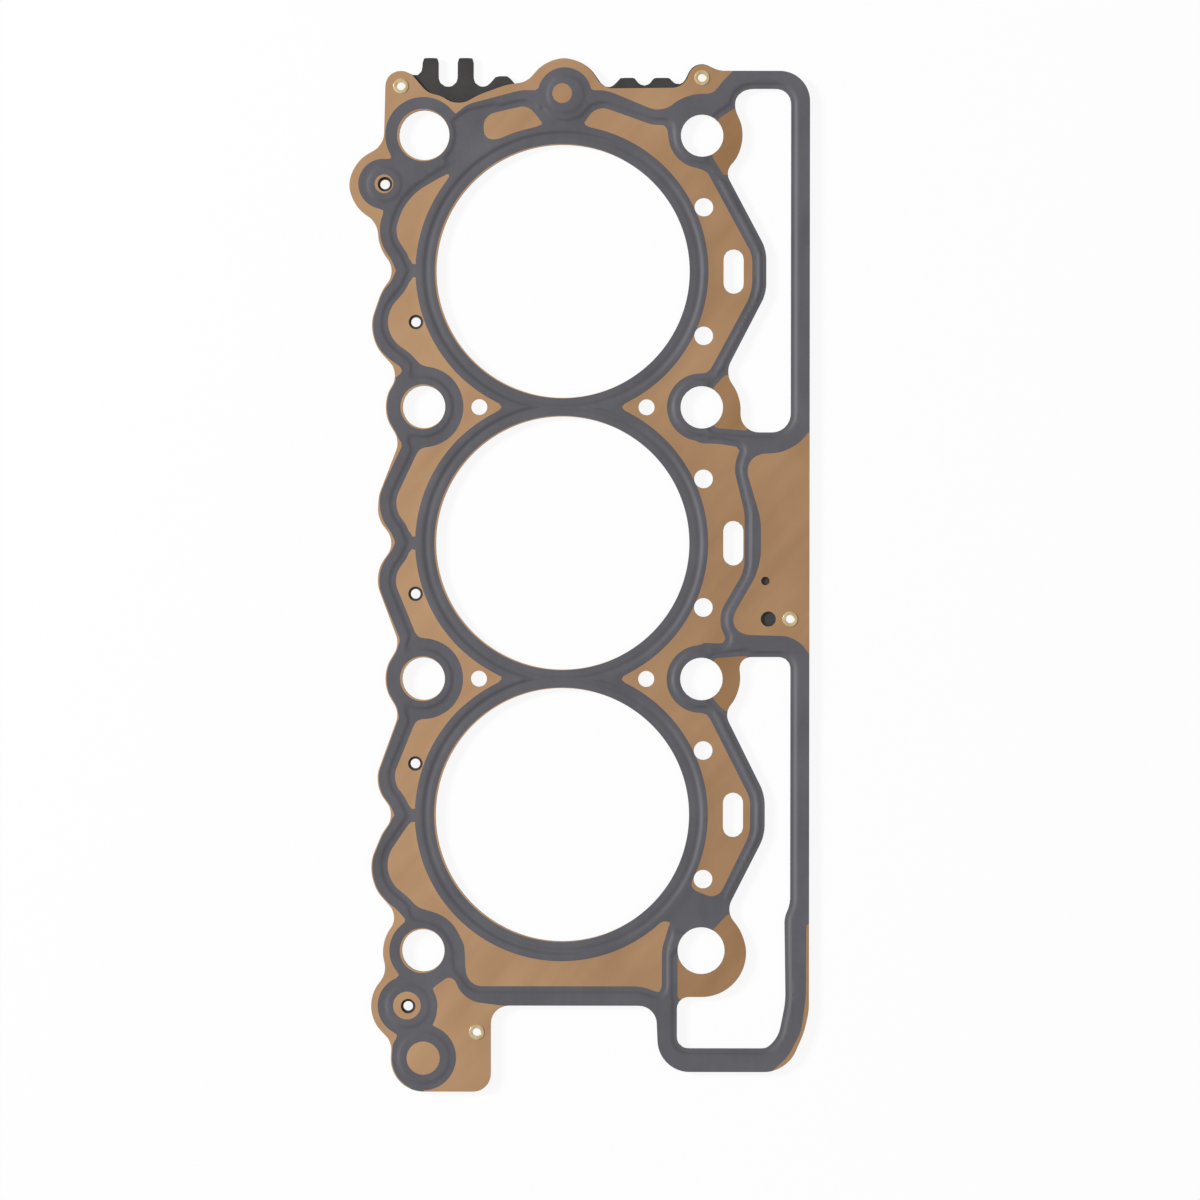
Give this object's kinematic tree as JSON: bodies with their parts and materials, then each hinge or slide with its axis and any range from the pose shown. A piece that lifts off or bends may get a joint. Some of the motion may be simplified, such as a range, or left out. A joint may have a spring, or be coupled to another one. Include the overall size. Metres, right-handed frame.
{
  "type": "cylinder head gasket",
  "caption": "Multi-layer steel cylinder head gasket for one bank of a V6 engine, with beaded cylinder openings, bolt and coolant holes and two side windows.",
  "frame": {"origin": "on the underside of the carrier sheet, at the axis of the middle cylinder opening", "axes": "+X towards the side with the two windows, +Y along the row of cylinders towards the end with the carrier tabs, +Z out of the beaded printed face"},
  "size_m": [0.1525, 0.3423, 0.0016],
  "materials": {
    "black_coated_steel": "satin black coating",
    "grey_seal_coating": "matt grey printed seal coating",
    "brown_lacquer": "satin brown lacquer on steel",
    "eyelet_brass": "pale plated, rolled over"
  },
  "bodies": {
    "root": {"carrier_layer": "black_coated_steel", "top_layer": "grey_seal_coating", "lacquer_fields": "brown_lacquer", "eyelet_top_left": "eyelet_brass", "eyelet_top_right": "eyelet_brass", "eyelet_right_middle": "eyelet_brass", "eyelet_bottom_left": "eyelet_brass"}
  },
  "joints": []
}
